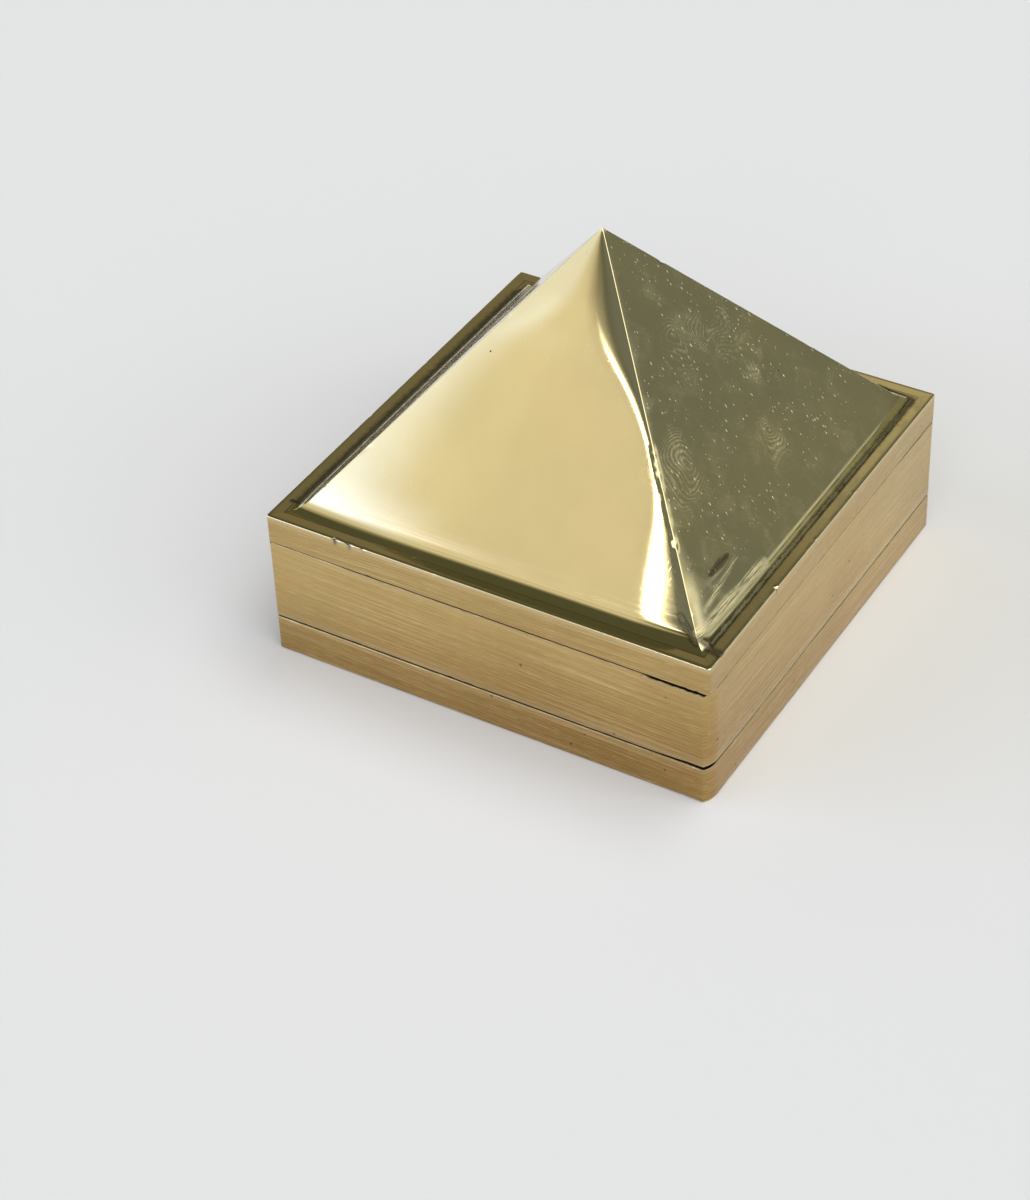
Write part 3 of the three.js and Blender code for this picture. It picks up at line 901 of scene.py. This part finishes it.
inner_foot = cap_foot_half - cap_wall / math.sin(cap_slope)
inner_apex = inner_foot * math.tan(cap_slope)
skirt_inner = skirt_half - skirt_wall
hollow = [cap_run.ring(0.15, 0.1, rim_top + inner_apex - 0.16)]
for half in np.linspace(0.9, skirt_inner, 16):
    level = rim_top + (inner_foot - half) * math.tan(cap_slope)
    hollow.append(cap_run.ring(half, min(0.9, half * 0.6), level))
skirt = [cap_run.ring(skirt_inner, 0.9, rim_top - 1), cap_run.ring(skirt_inner, 0.9, cap_bottom + 0.2),
         cap_run.ring(skirt_inner + 0.2, 0.7, cap_bottom), cap_run.ring(skirt_half - 0.2, 0.3, cap_bottom),
         cap_run.ring(skirt_half, 0.3, cap_bottom + 0.2), cap_run.ring(skirt_half, 0.3, rim_top - 0.1)]
flange = [cap_run.ring(skirt_half, 0.3, rim_top + solder_gap),
          cap_run.ring(outer_rings[0][:, 0].max() - 0.01, ridge_radius, rim_top + solder_gap)]

polished_pyramid_cap = skin("polished_pyramid_cap", [
    (hollow, 1, 0, 0), (skirt, 1, 0, 0), (flange, 0, 0, 0.5), (outer_rings, 0, 0, 0),
], [polished_brass, cast_brass])
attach(polished_pyramid_cap, "lid")
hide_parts("pyramid_cap")


# Floor
# A plain pale studio sweep, matt card on a wide round table top. It turns gently up at its far
# edge, so that no line shows behind the object.

sweep_rings, sweep_points = 40, 96
reach = np.concatenate([np.linspace(0.002, 0.5, 6), np.linspace(0.6, 2.2, sweep_rings - 6)])
rise = np.where(reach > 1.2, (np.clip(reach - 1.2, 0, None) ** 2) * 0.28, 0)
turn = np.linspace(0, 2 * math.pi, sweep_points, endpoint=False)
floor_points = [(r * math.cos(a), r * math.sin(a), z) for r, z in zip(reach, rise) for a in turn]
floor_faces = [list(range(sweep_points))]
for i in range(sweep_rings - 1):
    inner, outer = i * sweep_points, (i + 1) * sweep_points
    for j in range(sweep_points):
        k = (j + 1) % sweep_points
        floor_faces.append([inner + j, outer + j, outer + k, inner + k])
floor_mesh = bpy.data.meshes.new("floor")
floor_mesh.from_pydata(floor_points, [], floor_faces)
floor_mesh.shade_smooth()
pale_card = Finish("pale_card")
card = pale_card.node("ShaderNodeBsdfPrincipled", None, {
    "Base Color": (0.63, 0.63, 0.626, 1), "Roughness": 0.8, "Specular IOR Level": 0.2})
pale_card.node("ShaderNodeOutputMaterial", None, {"Surface": card})
floor_mesh.materials.append(pale_card.material)
floor = bpy.data.objects.new("floor", floor_mesh)
bpy.context.scene.collection.objects.link(floor)


# Studio light
# A dim grey room with soft boxes round the table. Each is a patch of the sky, from one compass
# direction and height to another, in degrees; +X is 0 and +Y is 90.

room = bpy.context.scene.world or bpy.data.worlds.new("studio")
bpy.context.scene.world = room
room.use_nodes = True
sky = Tree(room.node_tree)
way = sky.node("ShaderNodeTexCoord", output="Generated")
parts = sky.node("ShaderNodeSeparateXYZ", None, {0: way})
compass = parts.output("Y").maths("ARCTAN2", parts.output("Y"), parts) * math.degrees(1)
climb = parts.output("Z").maths("ARCSINE", parts.output("Z")) * math.degrees(1)

soft_boxes = [
    # from, to, softness of each side; low, high, softness of each; colour
    ((-168, -111.9, 4, 0.8), (6, 44.5, 4, 5), (0.74, 0.69, 0.66)),   # key, on the front face
    ((-170, -119.8, 4, 2.2), (6, 42, 4, 6), (0.11, 0.12, 0.10)),     # its whiter part
    ((-172, -128, 4, 4), (4, 46, 4, 4), (0.10, 0.19, 0.46)),         # the left of that
    ((-172, -128.5, 4, 3.5), (4, 36.3, 4, 2), (0.15, 0.20, 0.38)),   # its left edge
    ((-134, -123.6, 3, 4), (4, 32.3, 4, 2.2), (0.40, 0.58, 1.35)),   # and its brightest corner
    ((-172, -118.8, 4, 1), (4, 29.8, 4, 2.2), (0.85, 0.90, 1.60)),   # lower edge, seen at the foot
    ((-175, -121, 5, 3), (45.5, 56, 3, 7), (0.74, 0.70, 0.60)),      # dimmer card over it
    ((-114.2, -112.4, 0.25, 0.3), (18, 42, 3, 2), (4.5, 4.5, 4.6)),  # strip beside it
    ((-111.4, -88, 2, 4), (28, 60, 5, 5), (0.10, 0.12, 0.17)),       # dim gap after the strip
    ((-88, 20, 6, 6), (18, 74, 6, 6), (2.2, 2.2, 2.2)),              # large box on the right
    ((14, 41, 4, 3.5), (5, 30, 4, 6), (0.45, 0.46, 0.48)),           # its paler edge
    ((8, 31, 4, 5), (5, 42, 4, 6), (0.50, 0.42, 0.36)),              # and the warm part of that
    ((36, 62, 6, 8), (2, 26, 6, 5), (0.12, 0.13, 0.145)),            # glow on the dark face
    ((30, 56.5, 4, 1.3), (24, 37, 4, 2), (0.55, 0.57, 0.60)),        # two cards above that, seen
    ((40, 66.5, 4, 1.3), (38, 45, 2, 4), (0.50, 0.52, 0.50)),        # in the hollow at the foot
    ((58, 86, 3, 4), (24, 44, 5, 4), (0.14, 0.14, 0.10)),            # and a dim one behind
    ((102, 132, 6, 5), (18, 43, 6, 3), (0.12, 0.09, 0.06)),          # far wall, seen in the ledge
    ((100, 116, 4, 2.5), (30, 38, 4, 2), (0.28, 0.27, 0.22)),        # its paler end
    ((148, 176, 5, 4), (8, 42, 5, 5), (0.9, 0.9, 0.9)),              # small box on the left
    ((15, 100, 8, 8), (54, 75, 4, 5), (4.4, 4.4, 4.4)),              # long box behind and above
    ((-190, 190, 1, 1), (77, 100, 3, 1), (1.6, 1.6, 1.6)),           # lamp overhead
]
light = (0.095, 0.10, 0.065, 1)
for (start, end, start_soft, end_soft), (low, high, low_soft, high_soft), colour in soft_boxes:
    share = (compass.rise(start - start_soft, start + start_soft)
             * compass.rise(end + end_soft, end - end_soft)
             * climb.rise(low - low_soft, low + low_soft)
             * climb.rise(high + high_soft, high - high_soft))
    light = sky.node("ShaderNodeMix", {"data_type": "RGBA", "blend_type": "ADD"},
                     {0: share, 6: light, 7: (*colour, 1)}, output=2)
glow = sky.node("ShaderNodeBackground", None, {"Color": light, "Strength": 1.0})
sky.node("ShaderNodeOutputWorld", None, {"Surface": glow})


# Camera
# Stands to the right of the front face and above it, looking down at it as in the photograph,
# and leans a little to one side.

camera_data = bpy.data.cameras.new("camera")
camera_data.lens = 90.36  # millimetres, on the usual 36 mm sensor
camera_data.clip_start, camera_data.clip_end = 0.01, 20
camera = bpy.data.objects.new("camera", camera_data)
sight = Vector((-0.4148, 0.6542, -0.6324))
camera.matrix_world = (Matrix.Translation(Vector((125.4, -216.82, 202.76)) * MM)
                       @ sight.to_track_quat("-Z", "Y").to_matrix().to_4x4()
                       @ Matrix.Rotation(math.radians(-2.643), 4, "Z"))
bpy.context.scene.collection.objects.link(camera)
bpy.context.scene.camera = camera

bpy.context.scene.view_settings.view_transform = "Standard"
